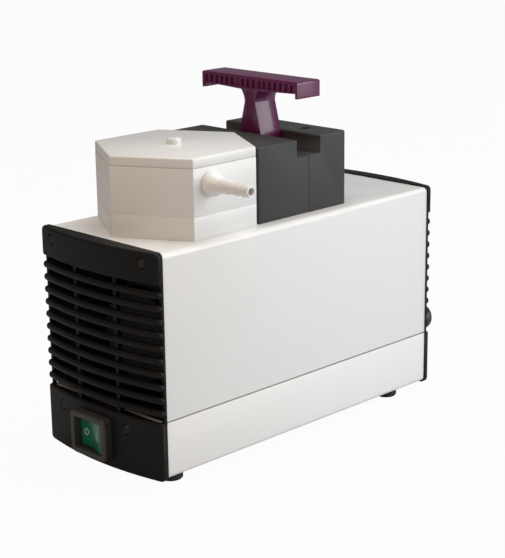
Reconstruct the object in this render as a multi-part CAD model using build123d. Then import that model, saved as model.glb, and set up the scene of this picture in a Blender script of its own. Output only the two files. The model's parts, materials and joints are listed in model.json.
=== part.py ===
from build123d import *
import os
from math import sqrt

# Diaphragm vacuum pump. X runs from the front cap to the rear cap, Z is up from the floor,
# and Y = 0 is the middle plane. Lengths are in millimetres.

# Housing
housing_length = 260.6
housing_width = 116.0
housing_height = 150.2
sheet = 1.5
bend_radius = 3.5
tray_height = 38.5
seam_gap = 1.0

# Clearances
slide_clearance = 0.4
running_clearance = 0.05
seat_clearance = 0.3
screw_clearance = 0.2

# Feet
foot_radius = 8.0
foot_height = 5.0
foot_front = 12.0
foot_rear = 229.0
foot_side = 47.0

# End caps
cap_proud = 0.6
cap_lip = 1.2
cap_side_depth = 4.5
cap_bow = 6.7
cap_wall = 3.0
cap_rim = 1.5
rib_count = 10
rib_pitch = 8.74
rib_gap = 4.1
rib_edge = 1.2
first_rib_below_top = 26.0
rib_post_side = 20.0
cap_screw_side = 45.0
cap_screw_below_top = 6.5
tray_screw_height = 29.5
tray_screw_near = 28.0
tray_screw_far = 38.0
cap_screw_radius = 2.0
cap_screw_head_radius = 3.6
cap_screw_length = 14.0
cap_screw_seat = 2.4

# Switch
switch_side = 2.75
switch_height = 23.5
frame_width = 35.5
frame_tall = 30.0
frame_proud = 17.0
frame_corner = 4.5
frame_wall = 4.0
rocker_width = 26.0
rocker_tall = 20.5
rocker_pin_radius = 1.5
rocker_tilt = 10.0
rocker_recess = 3.5
switch_body_depth = 22.0
rocker_crown = 4.5
rocker_valley = 2.4
spade_width = 6.0
spade_length = 8.0
spade_thick = 0.8

# Pump head
head_setback = 15.9
head_flats = 97.4
head_base_height = 15.5
head_body_height = 31.5
head_lid_height = 6.8
head_chamfer = 0.8
head_plug_radius = 5.0
head_plug_height = 4.0
chamber_radius = 35.0
chamber_depth = 7.5
valve_plate_thick = 3.0
valve_pocket_radius = 7.0
valve_pocket_depth = 2.6
valve_disc_thick = 1.2
valve_disc_radius = 6.2
port_radius = 3.0
head_screw_circle = 42.5
head_screw_radius = 2.5
head_screw_head_radius = 4.2
head_screw_length = 32.0

# Hose nozzles
nozzle_offset = 13.1
nozzle_above_housing = 35.6
nozzle_length = 37.0
nozzle_root_radius = 8.0
nozzle_shoulder_length = 5.0
nozzle_neck_length = 12.0
nozzle_land_radius = 4.8
nozzle_land_length = 6.0
nozzle_barb_radius = 4.6
nozzle_tip_radius = 3.7
nozzle_barbs = 3
nozzle_bore = 2.5
nozzle_spigot_radius = 5.5
nozzle_spigot_length = 9.0
ring_section = 1.1

# Diaphragm and crank drive
shaft_below_top = 71.2
crank_throw = 2.8
diaphragm_thick = 1.6
diaphragm_radius = 38.0
diaphragm_roll = 1.2
clamp_disc_radius = 24.0
clamp_disc_thick = 3.0
support_disc_radius = 23.0
support_disc_thick = 4.0
rod_stud_radius = 4.0
rod_neck_low = 18.0
rod_neck_high = 12.0
rod_thick = 14.0
rod_ring_radius = 21.0
rod_bearing_radius = 16.0
rod_bearing_thick = 9.0
eccentric_radius = 11.0
shaft_radius = 6.0
counterweight_radius = 24.0
counterweight_thick = 6.0

# Crankcase
crankcase_radius = 33.0
crankcase_wall = 4.0
neck_radius = 34.0
neck_bore = 30.0
flange_thick = 6.0

# Motor
stator_length = 54.0
stator_side = 80.0
stator_corner = 14.0
through_bolt_side = 31.0
stator_bore = 22.0
rotor_gap = 0.4
winding_length = 12.0
winding_radius = 34.0
shield_thick = 5.0
bearing_radius = 13.0
bearing_thick = 9.0
fan_radius = 36.0
fan_hub_radius = 13.0
fan_depth = 14.0
fan_blades = 9
bolt_radius = 2.0
isolator_height = 14.0
isolator_radius = 8.0
isolator_side = 39.0
bracket_leg = 28.0
bracket_reach = 48.0
bracket_thick = 2.0

# Carrying handle and its block
bar_width = 22.3
bar_half_span = 46.4
bar_end_height = 11.5
bar_beam_height = 9.4
handle_travel = 38.8
rib_pocket_pitch = 5.2
rib_pocket_depth = 1.2
block_ahead = 48.7
block_behind = 38.9
block_height = 52.0
block_corner = 4.0
nest_gap = 1.6
handle_behind_head = 32.5
stem_under_bar = 18.0
stem_waist = 10.0
stem_waist_below = 9.5
stem_foot_width = 20.6
stem_flare_below = 29.5
stem_depth = 20.4
channel_floor_thick = 3.0
foot_flange = 24.0
foot_flange_thick = 3.0
pocket_wall = 1.2
block_screw_side = 18.2
block_screw_back = 14.0
block_screw_radius = 2.5
block_screw_head_radius = 4.2

# Electrical pieces
gland_side = -42.0
gland_height = 50.0
gland_radius = 10.0
gland_reach = 19.5
gland_bore = 4.0
gland_sleeve_radius = 7.0
gland_collar = 3.0
gland_seal_room = 3.5
capacitor_radius = 15.0
capacitor_length = 62.0
capacitor_from_rear = 25.0
terminal_length = 36.0

# Heights and places that follow from the sizes above
floor_z = foot_height
top_z = floor_z + housing_height
split_z = floor_z + tray_height
half_width = housing_width / 2
front_reach = frame_proud
rear_reach = gland_reach
origin_x = (housing_length + rear_reach - front_reach) / 2
base_top = top_z + head_base_height
body_top = base_top + head_body_height
lid_top = body_top + head_lid_height
shaft_height = top_z - shaft_below_top
head_x = head_setback + head_flats / 2
crank_z = shaft_height + crank_throw
block_top = top_z + block_height
bar_top_raised = block_top + handle_travel
handle_x = head_x + head_flats / 2 + handle_behind_head
block_x0 = handle_x - block_ahead
block_x1 = handle_x + block_behind
channel_floor = block_top - bar_end_height - 2 * seat_clearance
nozzle_z = top_z + nozzle_above_housing
crankcase_x0 = head_x - neck_radius - 1
crankcase_x1 = head_x + neck_radius + 1
motor_x0 = crankcase_x1 + shield_thick + winding_length + 2
motor_x1 = motor_x0 + stator_length
motor_end = motor_x1 + shield_thick + winding_length + 2
cap_depth = cap_side_depth + cap_bow


def box(x0, x1, y0, y1, z0, z1):
    return Pos((x0 + x1) / 2, (y0 + y1) / 2, (z0 + z1) / 2) * Box(x1 - x0, y1 - y0, z1 - z0)


def rod_x(radius, x0, x1, y, z):
    return Pos((x0 + x1) / 2, y, z) * Rot(0, 90, 0) * Cylinder(radius, x1 - x0)


def rod_y(radius, y0, y1, x, z):
    return Pos(x, (y0 + y1) / 2, z) * Rot(90, 0, 0) * Cylinder(radius, y1 - y0)


def rod_z(radius, z0, z1, x, y):
    return Pos(x, y, (z0 + z1) / 2) * Cylinder(radius, z1 - z0)


def write(name, *solids):
    """Centres a node on the origin and writes it as one STEP file."""
    group = Compound(children=[solid for piece in solids for solid in piece.solids()])
    export_step(Pos(-origin_x, 0, 0) * group, f"parts/{name}.step")


def mirrored_back(piece):
    """The rear copy of a front end piece."""
    middle = Plane.YZ.offset(housing_length / 2)
    return mirror(piece, about=middle)


# Housing ---------------------------------------------------------------

def tab_hole(x, side, z):
    return rod_x(cap_screw_radius + screw_clearance, x - 5, x + 5, side, z)


def base_tray():
    """Folded pan: floor, two side walls and two end walls, with feet and switch openings."""
    outer = box(0, housing_length, -half_width, half_width, floor_z, split_z)
    outer = fillet(outer.edges().filter_by(Axis.X).group_by(Axis.Z)[0], bend_radius)
    inside = half_width - sheet
    inner = box(sheet, housing_length - sheet, -inside, inside, floor_z + sheet, top_z)
    inner = fillet(inner.edges().filter_by(Axis.X).group_by(Axis.Z)[0], bend_radius - sheet)
    tray = outer - inner
    body = switch_opening(seat_clearance)
    tray = tray - body
    for x in (0, housing_length):
        for side in (-tray_screw_near, tray_screw_far):
            tray = tray - tab_hole(x, side, floor_z + tray_screw_height)
    for x in (foot_front, foot_rear):
        for side in (-foot_side, foot_side):
            tray = tray - rod_z(cap_screw_radius + screw_clearance, 0, floor_z + 5, x, side)
    return tray - gland_hole(housing_length - 5, housing_length + 5)


def gland_hole(x0, x1):
    """Clearance hole for the gland's threaded sleeve, as a cutter."""
    return rod_x(gland_sleeve_radius + screw_clearance, x0, x1, gland_side, gland_height)


def top_cover():
    """Folded cover: a top and two sides, open at both ends, with screw tabs bent down."""
    low = split_z + seam_gap
    outer = box(0, housing_length, -half_width, half_width, low, top_z)
    outer = fillet(outer.edges().filter_by(Axis.X).group_by(Axis.Z)[-1], bend_radius)
    inner = box(-1, housing_length + 1, sheet - half_width, half_width - sheet, low - 1, top_z - sheet)
    inner = fillet(inner.edges().filter_by(Axis.X).group_by(Axis.Z)[-1], bend_radius - sheet)
    cover = outer - inner
    tab_top = top_z - sheet
    for x in (sheet / 2, housing_length - sheet / 2):
        for side in (-cap_screw_side, cap_screw_side):
            tab = box(x - sheet / 2, x + sheet / 2, side - 8, side + 8, tab_top - 13, tab_top)
            cover = cover + (tab - tab_hole(x, side, top_z - cap_screw_below_top))
    cover = cover - rod_z(neck_bore, top_z - 5, top_z + 5, head_x, 0)
    for x, y in head_screw_places():
        cover = cover - rod_z(head_screw_radius + screw_clearance, top_z - 5, top_z + 5, x, y)
    for x, y in block_screw_places():
        cover = cover - rod_z(block_screw_radius + screw_clearance, top_z - 5, top_z + 5, x, y)
    half = pocket_half() + pocket_wall + seat_clearance
    return cover - box(handle_x - half, handle_x + half, -half, half, top_z - 5, top_z + 5)


def rubber_foot(x, side):
    foot = rod_z(foot_radius, 0, foot_height, x, side)
    foot = chamfer(foot.edges().group_by(Axis.Z)[0], 0.8)
    foot = foot - rod_z(cap_screw_head_radius + seat_clearance, -1, foot_height / 2, x, side)
    return foot - rod_z(cap_screw_radius + screw_clearance, -1, foot_height + 1, x, side)


def foot_screw(x, side):
    head_low = foot_height / 2 - 1.6
    head = rod_z(cap_screw_head_radius, head_low, foot_height / 2, x, side)
    shank = rod_z(cap_screw_radius, foot_height / 2, floor_z + sheet + 4, x, side)
    nut = extrude(Pos(x, side, floor_z + sheet) * RegularPolygon(cap_screw_head_radius, 6), 3)
    return head + shank + nut


# End caps --------------------------------------------------------------

cap_half_width = half_width + cap_proud
bow_radius = (cap_half_width ** 2 + cap_bow ** 2) / (2 * cap_bow)


def bow_x(side):
    """X of the bowed outer face at a distance from the middle plane."""
    return bow_radius - cap_depth - sqrt(bow_radius ** 2 - side ** 2)


def bowed_block(inset, back):
    """Block with a rounded outline and a face bowed about a vertical axis."""
    low = floor_z - cap_lip + inset
    high = top_z + cap_lip - inset
    side = cap_half_width - inset
    block = box(-cap_depth - 1, back, -side, side, low, high)
    round_face = rod_z(bow_radius - inset, low - 1, high + 1, bow_radius - cap_depth, 0)
    block = block & round_face
    edge = max(bend_radius - inset, 0.5)
    return fillet(block.edges().filter_by(Axis.X), edge)


def rib_centres():
    first = top_z - first_rib_below_top
    return [first - index * rib_pitch for index in range(rib_count)]


def rib_edges(cap):
    """The long outer edges where the slots meet the bowed face."""
    low = floor_z + cap_lip
    high = top_z - cap_lip
    edges = cap.edges().filter_by(GeomType.CIRCLE)
    return [edge for edge in edges
            if abs(edge.radius - bow_radius) < 0.01 and low < edge.center().Z < high]


def end_cap():
    """Moulded cap: bowed face, rounded horizontal ribs with open slots, posts and screw bosses."""
    outer = bowed_block(0, 0)
    outer = fillet(outer.edges().filter_by(Axis.Z).group_by(Axis.X)[0], 2.0)
    cap = outer - bowed_block(cap_wall, 1)
    slots = []
    for index in range(rib_count + 1):
        middle = top_z - first_rib_below_top + rib_pitch / 2 - index * rib_pitch
        slots.append(box(-2 * cap_depth, -cap_rim, -housing_width, housing_width,
                         middle - rib_gap / 2, middle + rib_gap / 2))
    cap = cap - slots
    cap = chamfer(rib_edges(cap), rib_edge)
    centres = rib_centres()
    low = centres[-1] - rib_pitch
    high = centres[0] + rib_pitch
    back = bow_x(rib_post_side) + cap_wall
    for side in (-rib_post_side, rib_post_side):
        cap = cap + box(back - 0.6, back + 3, side - 1.5, side + 1.5, low, high)
    for side, z in cap_screw_places():
        boss = rod_x(cap_screw_head_radius + 1.6, bow_x(side) + 1, 0, side, z)
        seat = bow_x(side) + cap_screw_seat
        recess = rod_x(cap_screw_head_radius + seat_clearance, -2 * cap_depth, seat, side, z)
        hole = rod_x(cap_screw_radius + screw_clearance, -2 * cap_depth, 1, side, z)
        cap = cap + (boss & outer) - recess - hole
    return cap


def cap_screw_places():
    top = top_z - cap_screw_below_top
    low = floor_z + tray_screw_height
    return [(-cap_screw_side, top), (cap_screw_side, top), (-tray_screw_near, low), (tray_screw_far, low)]


def cap_screw(side, z):
    """Pan-head screw, its head in the cap's recess."""
    seat = bow_x(side) + cap_screw_seat
    head = rod_x(cap_screw_head_radius, seat - 2.0, seat, side, z)
    head = chamfer(head.edges().group_by(Axis.X)[0], 0.7)
    return head + rod_x(cap_screw_radius, seat, seat + cap_screw_length, side, z)


def switch_block(front, back, shrink):
    wide = frame_width / 2 - shrink
    tall = frame_tall / 2 - shrink
    low = switch_height - tall
    high = switch_height + tall
    block = box(front, back, switch_side - wide, switch_side + wide, low, high)
    return fillet(block.edges().filter_by(Axis.X), max(frame_corner - shrink, 0.6))


def switch_opening(clearance):
    """The switch's narrow rear body, grown by a clearance, as a cutter."""
    return switch_block(-1, switch_body_depth + 5, frame_wall / 2 - clearance)


rocker_x = rocker_recess + 4.0 - frame_proud


def switch_bezel():
    """Frame round the rocker with its switch body behind and two spade terminals."""
    frame = switch_block(-frame_proud, 0, 0)
    frame = fillet(frame.edges().group_by(Axis.X)[0], 1.2)
    frame = frame + switch_block(0, switch_body_depth, frame_wall / 2)
    frame = frame - switch_block(-frame_proud - 1, -1.5, frame_wall)
    for z in (switch_height - 6, switch_height + 6):
        half = spade_width / 2
        spade = box(switch_body_depth, switch_body_depth + spade_length,
                    switch_side - half, switch_side + half, z - spade_thick / 2, z + spade_thick / 2)
        frame = frame + spade
    hole_reach = rocker_tall / 2 + 3
    pin_hole = rod_z(rocker_pin_radius + running_clearance, switch_height - hole_reach,
                     switch_height + hole_reach, rocker_x, switch_side)
    return frame - pin_hole


def rocker_button():
    """Rocker with a shallow V face, on a pin across the frame, tipped to its off side."""
    end = rocker_width / 2
    shape = Polyline((-rocker_crown, -end), (-rocker_valley, 0), (-rocker_crown, end),
                     (2.0, end - 1.5), (3.5, 0), (2.0, 1.5 - end), close=True)
    body = extrude(Pos(0, 0, -rocker_tall / 2) * make_face(shape), rocker_tall)
    body = fillet(body.edges().filter_by(Axis.Z).group_by(Axis.X)[0], 0.8)
    pin_reach = rocker_tall / 2 + 2.5
    body = body + rod_z(rocker_pin_radius, -pin_reach, pin_reach, 0, 0)
    return Pos(rocker_x, switch_side, switch_height) * Rot(0, 0, -rocker_tilt) * body


def front_cap():
    return end_cap() - switch_block(-frame_proud - 1, 1, -seat_clearance)


def rear_cap():
    """The same cap at the rear, with a flat boss for the cable gland."""
    seat = gland_seat()
    boss = rod_x(gland_radius + 1.5, housing_length, seat, gland_side, gland_height)
    face = rod_x(gland_radius + seat_clearance, seat, seat + cap_depth, gland_side, gland_height)
    return mirrored_back(end_cap()) + boss - face - gland_hole(housing_length - 1, seat + cap_depth)


# Pump head -------------------------------------------------------------

def hexagon(low, high, edge):
    """Hexagonal plate with flats facing both sides and every outer edge broken."""
    radius = head_flats / sqrt(3)
    plate = extrude(Pos(head_x, 0, low) * RegularPolygon(radius, 6), high - low)
    return chamfer(plate.edges(), edge)


def head_screw_places():
    reach = head_screw_circle * sqrt(0.5)
    return [(head_x + a * reach, b * reach) for a in (-1, 1) for b in (-1, 1)]


def head_base():
    """Lower ring of the head: seats on the cover and clamps the diaphragm's rim from below."""
    ring = hexagon(top_z, base_top, head_chamfer / 2)
    ring = ring - rod_z(neck_bore, top_z - 1, base_top + 1, head_x, 0)
    seat = rod_z(diaphragm_radius + seat_clearance, base_top - diaphragm_thick, base_top + 1, head_x, 0)
    ring = ring - seat
    for x, y in head_screw_places():
        ring = ring - rod_z(head_screw_radius + screw_clearance, top_z - 1, base_top + 1, x, y)
    return ring


def inlet_port_place():
    return (head_x - nozzle_offset, -20.0)


def outlet_port_place():
    return (head_x + nozzle_offset, 20.0)


def pocket_low():
    return base_top + chamber_depth


def head_body():
    """Head block with the pump chamber, valve pockets and the two hose ports."""
    block = hexagon(base_top, body_top, head_chamfer / 2)
    block = block - rod_z(chamber_radius, base_top - 1, pocket_low(), head_x, 0)
    for side, place in ((-1, inlet_port_place()), (1, outlet_port_place())):
        x, y = place
        face = side * head_flats / 2
        pocket = rod_z(valve_pocket_radius, pocket_low() - 1, pocket_low() + valve_pocket_depth, x, y)
        riser = rod_z(port_radius, pocket_low(), nozzle_z, x, y)
        ends = sorted((y - side * (port_radius + 2), face + side))
        bore = rod_y(port_radius + 0.6, ends[0], ends[1], x, nozzle_z)
        ends = sorted((face - side * (nozzle_spigot_length + seat_clearance), face + side))
        socket = rod_y(nozzle_spigot_radius + running_clearance, ends[0], ends[1], x, nozzle_z)
        block = block - [pocket, riser, bore, socket]
    for x, y in head_screw_places():
        depth = head_screw_tip() + 1
        block = block - rod_z(head_screw_radius + running_clearance, base_top - 1, depth, x, y)
    return block


def head_lid():
    lid = hexagon(body_top, lid_top, head_chamfer)
    return lid - rod_z(head_plug_radius - 1, body_top - 1, lid_top + 1, head_x, 0)


def head_plug():
    """Round button that closes the lid's tapped centre."""
    cap = rod_z(head_plug_radius, lid_top, lid_top + head_plug_height, head_x, 0)
    cap = fillet(cap.edges().group_by(Axis.Z)[-1], 1.4)
    return cap + rod_z(head_plug_radius - 1 - running_clearance, body_top, lid_top, head_x, 0)


def valve_plate():
    high = pocket_low()
    plate = rod_z(chamber_radius - seat_clearance, high - valve_plate_thick, high, head_x, 0)
    for x, y in (inlet_port_place(), outlet_port_place()):
        plate = plate - rod_z(port_radius, base_top, body_top, x, y)
    return plate


def inlet_valve_disc():
    """Disc held up against the inlet port; it drops to let gas into the chamber."""
    x, y = inlet_port_place()
    high = pocket_low() + valve_pocket_depth
    return rod_z(valve_disc_radius, high - valve_disc_thick, high, x, y)


def outlet_valve_disc():
    """Disc resting on the plate; it lifts to let gas out of the chamber."""
    x, y = outlet_port_place()
    return rod_z(valve_disc_radius, pocket_low(), pocket_low() + valve_disc_thick, x, y)


def nozzle(side, x):
    """Hose nozzle turned as one piece: spigot, round shoulder, plain land, taper, barbs and bore."""
    land = nozzle_land_radius
    land_end = nozzle_neck_length + nozzle_land_length
    outline = [
        (0, -nozzle_spigot_length), (nozzle_spigot_radius, -nozzle_spigot_length),
        (nozzle_spigot_radius, 0), (nozzle_root_radius, 0), (nozzle_root_radius, nozzle_shoulder_length),
        (nozzle_root_radius - 1.5, nozzle_shoulder_length + 3),
        (land, nozzle_neck_length), (land, land_end),
    ]
    step = (nozzle_length - land_end) / nozzle_barbs
    for index in range(nozzle_barbs):
        start = land_end + index * step
        outline += [(nozzle_barb_radius, start), (nozzle_tip_radius, start + step)]
    outline.append((0, nozzle_length))
    profile = make_face(Polyline(*outline, close=True))
    body = revolve(Plane.XZ * profile, Axis.Z) - Cylinder(nozzle_bore, 4 * nozzle_length)
    body = body - seal_ring(seat_clearance)
    turn = 90 if side < 0 else -90
    return Pos(x, side * head_flats / 2, nozzle_z) * Rot(turn, 0, 0) * body


def seal_ring(clearance):
    """Square-section ring round the spigot, or its groove when a clearance is added."""
    half = ring_section + clearance
    inner = nozzle_spigot_radius - ring_section
    ring = Cylinder(nozzle_spigot_radius, 2 * half) - Cylinder(inner, 2 * half)
    return Pos(0, 0, -nozzle_spigot_length / 2) * ring


def nozzle_ring(side, x):
    """Seal ring in the spigot's groove, flush with the socket's wall."""
    turn = 90 if side < 0 else -90
    return Pos(x, side * head_flats / 2, nozzle_z) * Rot(turn, 0, 0) * seal_ring(0)


def head_screw_tip():
    return crank_flange_low() + head_screw_length


def crank_flange_low():
    return top_z - sheet - flange_thick


def head_screw(x, y):
    """Socket screw driven up through the crankcase flange, the cover and the base."""
    low = crank_flange_low()
    head = rod_z(head_screw_head_radius, low - 5, low, x, y) - rod_z(2.2, low - 6, low - 2, x, y)
    return head + rod_z(head_screw_radius, low, head_screw_tip(), x, y)


def diaphragm():
    """Moulded disc with a raised convolution between its clamped rim and its centre."""
    half = diaphragm_thick / 2
    flat = base_top - half
    roll = (clamp_disc_radius + neck_bore) / 2
    line = [(rod_stud_radius + seat_clearance, flat), (clamp_disc_radius, flat),
            (roll, flat - diaphragm_roll), (neck_bore, flat), (diaphragm_radius, flat)]
    top = [(x, z + half) for x, z in line]
    under = [(x, z - half) for x, z in reversed(line)]
    face = make_face(Polyline(*top, *under, close=True))
    return Pos(head_x, 0, 0) * revolve(Plane.XZ * face, Axis.Z)


# Crank drive -----------------------------------------------------------

def crankcase():
    """Cast case: round crank chamber, neck, bolting flange and a boss for the front bearing."""
    high = top_z - sheet
    case = rod_x(crankcase_radius, crankcase_x0, crankcase_x1, 0, shaft_height)
    case = case + rod_z(neck_radius, shaft_height, high, head_x, 0)
    case = case + rod_z(head_screw_circle + head_screw_head_radius, high - flange_thick, high, head_x, 0)
    inside = crankcase_radius - crankcase_wall
    case = case - rod_x(inside, crankcase_x0 - 1, crankcase_x1 - crankcase_wall, 0, shaft_height)
    case = case - rod_z(neck_bore, shaft_height, high + 1, head_x, 0)
    boss_x0 = crankcase_x1 - bearing_thick - 2
    case = case + rod_x(bearing_radius + crankcase_wall, boss_x0, crankcase_x1, 0, shaft_height)
    case = case - rod_x(bearing_radius, crankcase_x1 - bearing_thick, crankcase_x1 + 1, 0, shaft_height)
    case = case - rod_x(bearing_radius - 3, boss_x0 - 1, crankcase_x1, 0, shaft_height)
    for x, y in head_screw_places():
        case = case - rod_z(head_screw_radius + screw_clearance, high - flange_thick - 1, high + 1, x, y)
    return case


def crankcase_cover():
    lip = crankcase_radius - crankcase_wall - seat_clearance
    cover = rod_x(crankcase_radius, crankcase_x0 - 3, crankcase_x0, 0, shaft_height)
    cover = cover + rod_x(lip, crankcase_x0, crankcase_x0 + 2, 0, shaft_height)
    return chamfer(cover.edges().group_by(Axis.X)[0], 1.2)


def eccentric():
    """Disc bored off centre, with a hub that the counterweight sits on."""
    half = rod_bearing_thick / 2 + 1
    disc = rod_x(eccentric_radius, head_x - half, head_x + half, 0, crank_z)
    return disc - rod_x(shaft_radius, head_x - 20, head_x + 20, 0, shaft_height)


def counterweight():
    """Half disc on a hub, opposite the crank's throw."""
    x0 = head_x + rod_thick / 2 + 1.2
    x1 = x0 + counterweight_thick
    disc = rod_x(counterweight_radius, x0, x1, 0, shaft_height)
    disc = disc - box(x0 - 1, x1 + 1, -60, 60, shaft_height, shaft_height + 60)
    disc = disc + rod_x(shaft_radius + 4, x0, x1, 0, shaft_height)
    return disc - rod_x(shaft_radius, x0 - 1, x1 + 1, 0, shaft_height)


def motor_shaft():
    x1 = motor_end + fan_depth + 8
    shaft = rod_x(shaft_radius, head_x - rod_bearing_thick / 2 - 2, x1, 0, shaft_height)
    return chamfer(shaft.edges(), 0.8)


def connecting_rod():
    """Ring round the big bearing, a tapering neck and a stud for the discs."""
    half = rod_thick / 2
    seat = base_top - diaphragm_thick - support_disc_thick
    ring = rod_x(rod_ring_radius, head_x - half, head_x + half, 0, crank_z)
    neck_shape = Polyline((-rod_neck_low, crank_z), (-rod_neck_high / 2, seat), (rod_neck_high / 2, seat),
                          (rod_neck_low, crank_z), close=True)
    neck = extrude(Plane.YZ.offset(head_x - half + 2) * make_face(neck_shape), rod_thick - 4)
    web_low = rod_neck_low / 3
    web_high = rod_neck_high / 5
    web_shape = Polyline((-web_low, crank_z), (-web_high, seat - 6), (web_high, seat - 6),
                         (web_low, crank_z), close=True)
    web = make_face(web_shape)
    rod = ring + neck
    rod = rod - extrude(Plane.YZ.offset(head_x - half) * web, 4.5)
    rod = rod - extrude(Plane.YZ.offset(head_x + half - 4.5) * web, 4.5)
    rod = rod + rod_x(rod_bearing_radius + 3, head_x - half, head_x + half, 0, crank_z)
    rod = rod - rod_x(rod_bearing_radius, head_x - half - 1, head_x + half + 1, 0, crank_z)
    return rod + rod_z(rod_stud_radius, seat - 1, base_top + clamp_disc_thick - 0.8, head_x, 0)


def ball_bearing(inner, outer, x0, x1, z):
    """Sealed ball bearing as one ring, with shield grooves on both faces."""
    ring = rod_x(outer, x0, x1, 0, z) - rod_x(inner, x0 - 1, x1 + 1, 0, z)
    low = inner + 0.3 * (outer - inner)
    high = inner + 0.75 * (outer - inner)
    for start in (x0 - 1, x1 - 0.4):
        ring = ring - (rod_x(high, start, start + 1.4, 0, z) - rod_x(low, start, start + 1.4, 0, z))
    return ring


def rod_bearing():
    half = rod_bearing_thick / 2
    inner = eccentric_radius + running_clearance
    return ball_bearing(inner, rod_bearing_radius, head_x - half, head_x + half, crank_z)


def support_disc():
    high = base_top - diaphragm_thick
    disc = rod_z(support_disc_radius, high - support_disc_thick, high, head_x, 0)
    disc = chamfer(disc.edges().group_by(Axis.Z)[0], 1.5)
    return disc - rod_z(rod_stud_radius, 0, lid_top, head_x, 0)


def clamp_disc():
    high = base_top + clamp_disc_thick
    disc = rod_z(clamp_disc_radius, base_top, high, head_x, 0)
    disc = chamfer(disc.edges().group_by(Axis.Z)[-1], 1.2)
    return disc - rod_z(rod_stud_radius, base_top - 1, high - 0.8, head_x, 0)


# Motor -----------------------------------------------------------------

def square_ring(x0, x1, hole):
    half = stator_side / 2
    ring = box(x0, x1, -half, half, shaft_height - half, shaft_height + half)
    ring = fillet(ring.edges().filter_by(Axis.X), stator_corner)
    if hole:
        ring = ring - rod_x(hole, x0 - 1, x1 + 1, 0, shaft_height)
    for y, z in bolt_places():
        ring = ring - rod_x(bolt_radius + screw_clearance, x0 - 1, x1 + 1, y, z)
    return ring


def bolt_places():
    reach = through_bolt_side
    return [(a * reach, shaft_height + b * reach) for a in (-1, 1) for b in (-1, 1)]


def stator():
    """Square lamination stack with winding slots round its bore."""
    stack = square_ring(motor_x0, motor_x1, stator_bore)
    slot = box(motor_x0 - 1, motor_x1 + 1, -1.5, 1.5, stator_bore - 1, winding_radius - 2)
    return stack - [Pos(0, 0, shaft_height) * Rot(30 * index, 0, 0) * slot for index in range(12)]


def winding(x0, x1):
    ring = rod_x(winding_radius, x0, x1, 0, shaft_height)
    ring = ring - rod_x(stator_bore + 1.5, x0 - 1, x1 + 1, 0, shaft_height)
    return chamfer(ring.edges(), 2.5)


def windings():
    gap = seat_clearance
    front = winding(motor_x0 - winding_length, motor_x0 - gap)
    rear = winding(motor_x1 + gap, motor_x1 + winding_length)
    return [front, rear]


def motor_front_shield():
    """End bell between the crankcase and the stack."""
    return end_bell(crankcase_x1, motor_x0, shaft_radius + 2)


def motor_rear_shield():
    bell = end_bell(motor_end, motor_x1, shaft_radius + 2)
    boss = rod_x(bearing_radius + 3, motor_end - shield_thick - 7, motor_end, 0, shaft_height)
    bell = bell + boss
    bell = bell - rod_x(bearing_radius, motor_end - shield_thick - 8, motor_end - 3, 0, shaft_height)
    return bell - rod_x(shaft_radius + 2, motor_x1, motor_end + 1, 0, shaft_height)


def end_bell(face, stack, hole):
    low, high = sorted((face, stack))
    bell = square_ring(low, high, 0)
    inward = 1 if stack > face else -1
    ends = sorted((face + inward * shield_thick, stack + inward))
    bell = bell - rod_x(stator_side / 2 - 3, ends[0], ends[1], 0, shaft_height)
    vent = rod_x(4.0, low - 1, high + 1, 0, shaft_height + 26)
    bell = bell - [Pos(0, 0, shaft_height) * Rot(45 + 90 * index, 0, 0) * Pos(0, 0, -shaft_height) * vent
                   for index in range(4)]
    return bell - rod_x(hole, low - 1, high + 1, 0, shaft_height)


def rotor():
    """Squirrel-cage rotor with short cooling fins on its end rings."""
    core = rod_x(stator_bore - rotor_gap, motor_x0, motor_x1, 0, shaft_height)
    ring = rod_x(stator_bore - 4, motor_x0 - 3, motor_x1 + 3, 0, shaft_height)
    fin = box(motor_x0 - 5, motor_x1 + 5, -0.8, 0.8, shaft_radius + 5, stator_bore - 5)
    fins = [Pos(0, 0, shaft_height) * Rot(45 * index, 0, 0) * fin for index in range(8)]
    cage = core + ring + fins
    return cage - rod_x(shaft_radius, motor_x0 - 20, motor_x1 + 20, 0, shaft_height)


def bearings():
    inner = shaft_radius + running_clearance
    rear = motor_end - 3
    return [
        ball_bearing(inner, bearing_radius, crankcase_x1 - bearing_thick, crankcase_x1, shaft_height),
        ball_bearing(inner, bearing_radius, rear - bearing_thick, rear, shaft_height),
    ]


def cooling_fan():
    """Moulded fan: hub, pitched blades and a hub bore on the shaft."""
    x0 = motor_end + 5
    hub = rod_x(fan_hub_radius, x0, x0 + fan_depth, 0, shaft_height)
    hub = fillet(hub.edges().group_by(Axis.X)[-1], 2.0)
    span = fan_radius - fan_hub_radius + 2
    blade = Box(fan_depth, 1.6, span)
    blade = fillet(blade.edges().filter_by(Axis.Y).group_by(Axis.Z)[-1], 4.0)
    blade = Pos(x0 + fan_depth / 2, 0, fan_hub_radius - 2 + span / 2) * Rot(0, 0, 35) * blade
    turn = 360 / fan_blades
    blades = [Pos(0, 0, shaft_height) * Rot(turn * index, 0, 0) * blade for index in range(fan_blades)]
    return hub + blades - rod_x(shaft_radius, x0 - 1, x0 + fan_depth + 1, 0, shaft_height)


def through_bolt(y, z):
    nut = Plane.YZ.offset(motor_end) * Pos(y, z) * RegularPolygon(4.0, 6)
    head = Plane.YZ.offset(crankcase_x1 - 3) * Pos(y, z) * RegularPolygon(4.0, 6)
    bolt = rod_x(bolt_radius, crankcase_x1 - 3, motor_end + 5, y, z)
    return bolt + extrude(nut, 3) + extrude(head, 3)


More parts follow.
